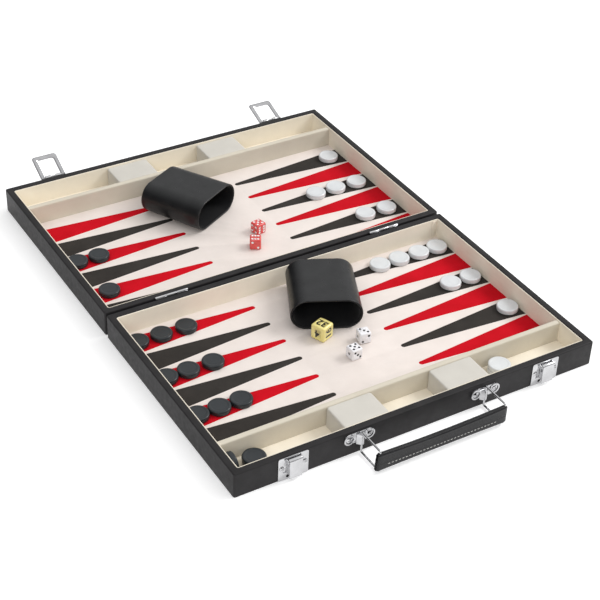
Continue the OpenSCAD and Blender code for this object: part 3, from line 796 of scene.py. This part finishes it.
def liner_outline():
    """The cup's felt liner as (along, inset): from its back, round its edge, to its end."""
    start = 1.6
    inner = CUP_WALL + CUP_LINER
    outline = [(CUP_L - CUP_WALL - 0.1, CUP_WALL + 2.1), (CUP_L - CUP_WALL - 2, CUP_WALL + 0.05)]
    outline += [(start, CUP_WALL + 0.05), (start - 0.3, CUP_WALL + CUP_LINER / 2), (start, inner)]
    outline += [(x, inner) for x in (10, 25, 40, 55, CUP_L - inner - 2)]
    outline += [(CUP_L - inner, inner + 2)]
    return outline


def cup(name):
    """A cup with a rolled lip, a rounded closed end and a felt liner."""
    layers = (
        ("_leather", "_shell", "cup_leather", cup_outline()),
        ("_felt", "_liner", "cup_felt", liner_outline()),
    )
    for ending, node, slot, outline in layers:
        bm = bmesh.new()
        loft(bm, [cup_ring(x, inset) for x, inset in outline])
        bmesh.ops.transform(bm, matrix=cup_place(name), verts=bm.verts)
        put(name + ending, bm, name, [name + node], slot, smooth=50)


for name in CUPS:
    cup(name)


# ---------- checkers ----------

ONE_CHECKER = "white_base_right_front"  # a node that is a single checker lying flat


def checker_profile():
    """A checker's section, from the middle of its top face round to the middle of its bottom."""
    low, high = box_mm(ONE_CHECKER)
    r, half_t = (high.x - low.x) / 2, (high.z - low.z) / 2
    edge_r = 1.3
    top = [(0, half_t - 0.28), (r - 3.6, half_t - 0.28), (r - 3.1, half_t - 0.25)]
    top += [(r - 2.7, half_t - 0.1), (r - 2.3, half_t - 0.02), (r - 1.9, half_t)]
    top += arc(r - edge_r, half_t - edge_r, edge_r, 90, 0, 6)
    bottom = [(x, -z) for x, z in reversed(top)]
    return top + bottom


def checkers(node, slot):
    """A lathe-turned disc in each of the node's boxes, lying flat or standing on edge."""
    profile = checker_profile()
    bm = bmesh.new()
    for low, high in islands(node):
        size = high - low
        place = Matrix.Translation((low + high) / 2)
        if size.x < size.z * 0.9:
            place = place @ Matrix.Rotation(math.radians(90), 4, "Y")
        elif size.y < size.z * 0.9:
            place = place @ Matrix.Rotation(math.radians(90), 4, "X")
        lathe(bm, profile, place)
    put(node + "_discs", bm, node, [node], slot, smooth=50)


for node in list(nodes):
    if slot_of[node] in ("white_checker", "black_checker"):
        checkers(node, slot_of[node])


# ---------- dice ----------


def rounded_cube(size, rounding):
    """A cube about the origin whose edges and corners are rounded by this radius."""
    bm = bmesh.new()
    bmesh.ops.create_cube(bm, size=size)
    bmesh.ops.bevel(
        bm, geom=list(bm.edges), offset=rounding, offset_type="OFFSET", segments=5,
        profile=0.5, affect="EDGES")
    return bm


def face_turns():
    """Turns that bring the top face to the top, left, right, bottom, back and front."""
    about = ((0, "X"), (-90, "Y"), (90, "Y"), (180, "X"), (-90, "X"), (90, "X"))
    return [Matrix.Rotation(math.radians(a), 4, axis) for a, axis in about]


def pip_places(number):
    """Where a face's pips lie, in steps from its middle. Below zero, they are a quarter turn on."""
    count = abs(number)
    places = [(0, 0)] if count % 2 else []
    if count > 1:
        places += [(-1, -1), (1, 1)]
    if count > 3:
        places += [(-1, 1), (1, -1)]
    if count == 6:
        places += [(-1, 0), (1, 0)]
    if number < 0:
        places = [(-y, x) for x, y in places]
    return places


def die(node):
    """A die with hollow painted pips."""
    turn, numbers = DICE[node]
    low, high = box_mm(node)
    size = high.z - low.z
    place = Matrix.Translation((low + high) / 2) @ Matrix.Rotation(math.radians(turn), 4, "Z")
    bm = rounded_cube(size, 1.5)
    bmesh.ops.transform(bm, matrix=place, verts=bm.verts)
    slot = slot_of[node]
    paint = WHITE_PAINT if slot == "red_die" else BLACK_PAINT
    piece = put(node + "_body", bm, node, [node], slot, [LOOKS[slot], paint])
    cutter = bmesh.new()
    ball, hollow, step = size * 0.13, size * 0.055, size * 0.25
    for face, number in zip(face_turns(), numbers):
        for px, py in pip_places(number):
            spot = Matrix.Translation((px * step, py * step, size / 2 + ball - hollow))
            where = Matrix.Scale(MM, 4) @ place @ face @ spot
            bmesh.ops.create_uvsphere(
                cutter, u_segments=20, v_segments=14, radius=ball, matrix=where)
    carve(piece, cutter)


for node in DICE:
    die(node)


def numeral(text, size):
    """A numeral as a closed mesh about the origin, in millimetres."""
    font = bpy.data.curves.new("numeral", "FONT")
    font.body = text
    font.size = size
    font.align_x = "CENTER"
    font.align_y = "CENTER"
    font.extrude = 0.5
    font.offset = size * 0.018  # thickens the strokes
    font.resolution_u = 4
    letter = bpy.data.objects.new("numeral", font)
    bpy.context.scene.collection.objects.link(letter)
    bpy.context.view_layer.update()
    mesh = bpy.data.meshes.new_from_object(letter)
    bpy.data.objects.remove(letter)
    return mesh


def doubling_cube():
    """The doubling cube, with its numbers sunk into its faces."""
    low, high = box_mm("doubling_cube")
    size = high.z - low.z
    place = Matrix.Translation((low + high) / 2)
    place = place @ Matrix.Rotation(math.radians(CUBE_TURN), 4, "Z")
    bm = rounded_cube(size, 2.2)
    bmesh.ops.transform(bm, matrix=place, verts=bm.verts)
    piece = put("doubling_cube_body", bm, "doubling_cube", ["doubling_cube"], "ivory_cube",
                [LOOKS["ivory_cube"], BLACK_PAINT])
    cutter = bmesh.new()
    height, outside = size * 0.72, 0.25
    for face, (text, quarter) in zip(face_turns(), CUBE_NUMBERS):
        mesh = numeral(text, height)
        spot = Matrix.Translation((0, 0, size / 2 + outside))
        spot = spot @ Matrix.Rotation(math.radians(quarter), 4, "Z")
        mesh.transform(Matrix.Scale(MM, 4) @ place @ face @ spot)
        cutter.from_mesh(mesh)
        bpy.data.meshes.remove(mesh)
    bmesh.ops.remove_doubles(cutter, verts=cutter.verts, dist=1e-6)
    carve(piece, cutter)


doubling_cube()


# ---------- carried-over CAD nodes ----------

for node, piece in nodes.items():
    if not piece.hide_render:
        piece.data.materials.clear()
        piece.data.materials.append(LOOKS[slot_of[node]])


# ---------- floor, light and camera ----------


def floor():
    """A pale floor with a faint glow, which keeps the shadows on it light."""
    bm = bmesh.new()
    bmesh.ops.create_grid(bm, x_segments=1, y_segments=1, size=6)
    mesh = bpy.data.meshes.new("floor")
    bm.to_mesh(mesh)
    bm.free()
    settings = {"Base Color": (0.92, 0.92, 0.92, 1), "Roughness": 0.8}
    settings["Emission Color"] = (1, 1, 1, 1)
    settings["Emission Strength"] = 0.3
    settings["Specular IOR Level"] = 0.1
    made, tree, shader = start_material("floor", settings)
    add_bumps(tree, shader, [(noise(tree, 300), 0.0001, 0.05)])
    mesh.materials.append(made)
    plane = bpy.data.objects.new("floor", mesh)
    bpy.context.scene.collection.objects.link(plane)
    plane.location.z = -0.0003  # just under the case


def area_light(name, place, target, size, power):
    """A soft lamp at place that faces target."""
    lamp = bpy.data.lights.new(name, "AREA")
    lamp.shape = "RECTANGLE"
    lamp.size, lamp.size_y = size
    lamp.energy = power
    holder = bpy.data.objects.new(name, lamp)
    bpy.context.scene.collection.objects.link(holder)
    holder.location = place
    aim = Vector(target) - Vector(place)
    holder.rotation_euler = aim.to_track_quat("-Z", "Y").to_euler()


def world():
    """A studio that is brightest overhead and to the right, and dark near the horizon."""
    made = bpy.data.worlds.new("studio")
    bpy.context.scene.world = made
    made.use_nodes = True
    tree = made.node_tree
    direction = tree.nodes.new("ShaderNodeTexCoord").outputs["Generated"]
    lean = tree.nodes.new("ShaderNodeMapping")
    lean.inputs["Rotation"].default_value = (0, math.radians(-26), 0)
    tree.links.new(direction, lean.inputs["Vector"])
    split = tree.nodes.new("ShaderNodeSeparateXYZ")
    tree.links.new(lean.outputs["Vector"], split.inputs["Vector"])
    height = ramp(tree, split.outputs["Z"], (0.05, 0.05, 0.055), (1.0, 1.0, 1.0), 0.16, 0.82)
    sky = tree.nodes["Background"]
    tree.links.new(height, sky.inputs["Color"])
    sky.inputs["Strength"].default_value = 1.12


def camera():
    """The camera, to the left in front of the case and above it, with a slight roll."""
    azimuth, elevation, roll = math.radians(-31.86), math.radians(35.9), math.radians(2.18)
    place = (-0.6268, -0.9200, 0.8613)
    back = Vector((
        math.sin(azimuth) * math.cos(elevation),
        -math.cos(azimuth) * math.cos(elevation),
        math.sin(elevation)))
    right = Vector((0, 0, 1)).cross(back).normalized()
    up = back.cross(right)
    turned_right = math.cos(roll) * right + math.sin(roll) * up
    turned_up = -math.sin(roll) * right + math.cos(roll) * up
    data = bpy.data.cameras.new("camera")
    data.lens = 89.61
    data.sensor_width = 36
    data.clip_start, data.clip_end = 0.05, 50
    view = bpy.data.objects.new("camera", data)
    bpy.context.scene.collection.objects.link(view)
    turn = Matrix((turned_right, turned_up, back)).transposed().to_4x4()
    view.matrix_world = Matrix.Translation(place) @ turn
    bpy.context.scene.camera = view


floor()
world()
area_light("key", (1.9, -0.3, 1.75), (0, 0.12, 0), (1.0, 1.0), 29)
area_light("fill", (-1.5, -1.2, 1.3), (0, 0.1, 0), (1.6, 1.0), 16)
camera()
bpy.context.scene.view_settings.view_transform = "Standard"
